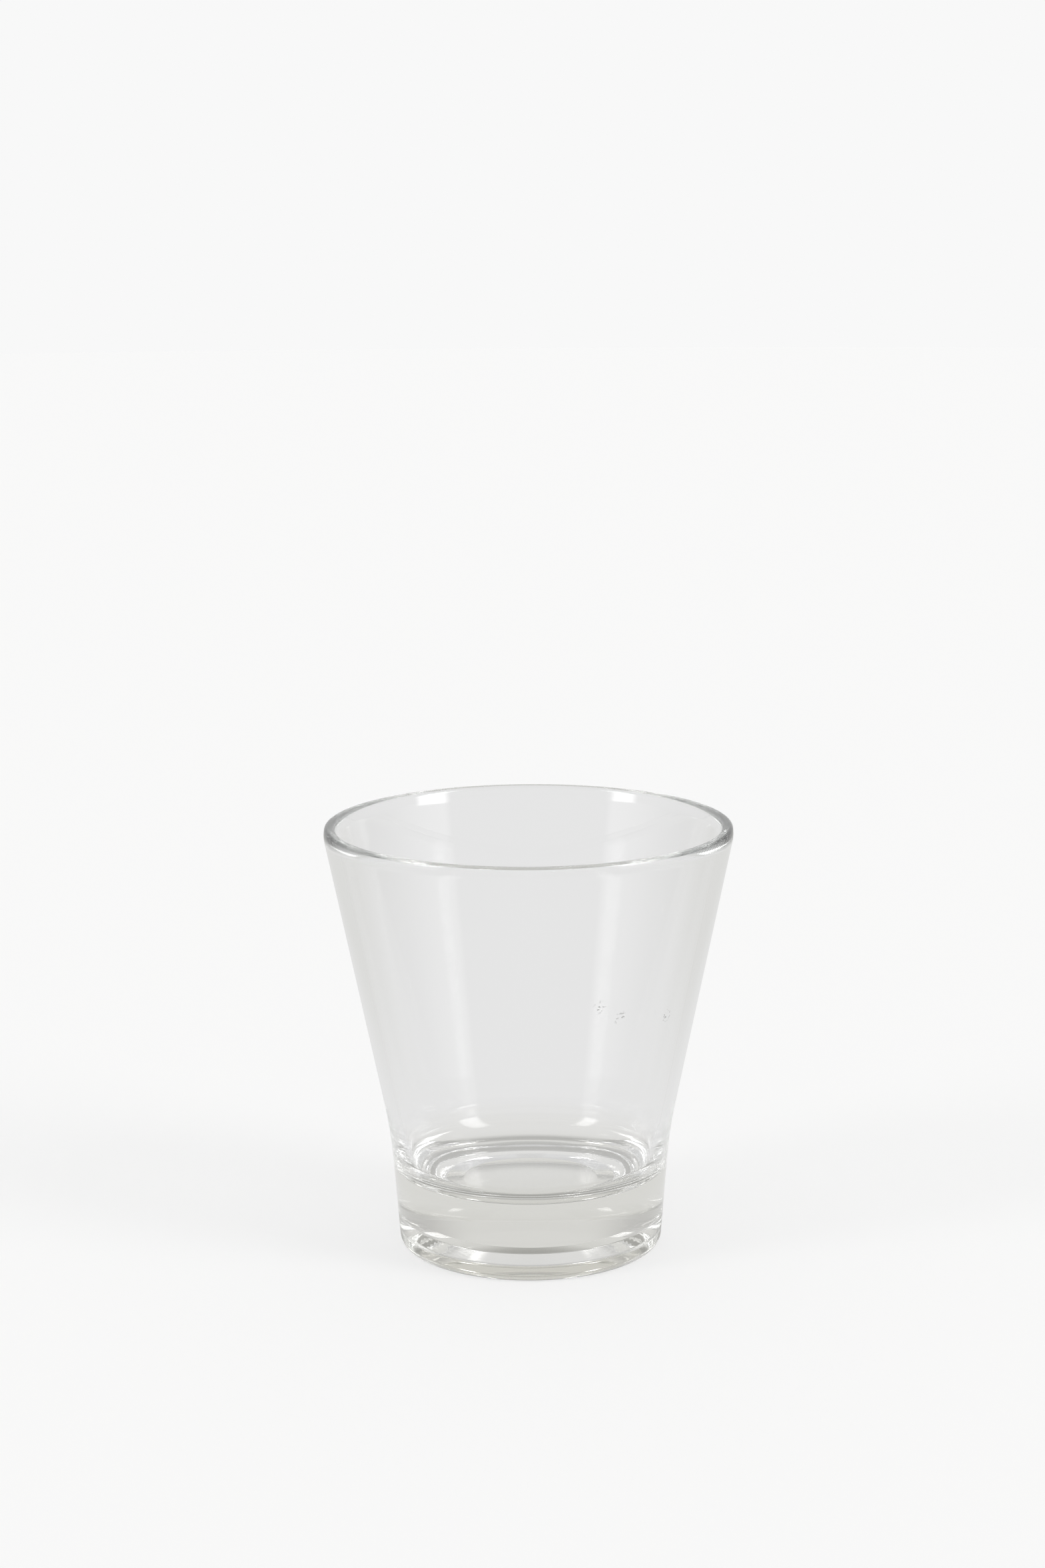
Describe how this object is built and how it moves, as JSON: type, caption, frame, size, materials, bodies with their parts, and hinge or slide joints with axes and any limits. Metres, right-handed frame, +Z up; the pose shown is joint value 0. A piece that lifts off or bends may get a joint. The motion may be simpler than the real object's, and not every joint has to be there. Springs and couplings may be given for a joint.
{
  "type": "whisky tumbler",
  "caption": "Clear pressed glass tumbler with a flared bowl, round rim, solid heavy foot with a nearly straight collar, and a flat-topped hollow under the base; it holds a short drink.",
  "frame": {"origin": "middle of the flat ring that the glass stands on", "axes": "+Z up along the axis of the glass; X and Y are free, because the glass is round"},
  "size_m": [0.09, 0.09, 0.0965],
  "materials": {
    "clear_glass": "fire-polished clear soda-lime glass with a trace of green"
  },
  "bodies": {
    "root": {"tumbler": "clear_glass"}
  },
  "joints": []
}
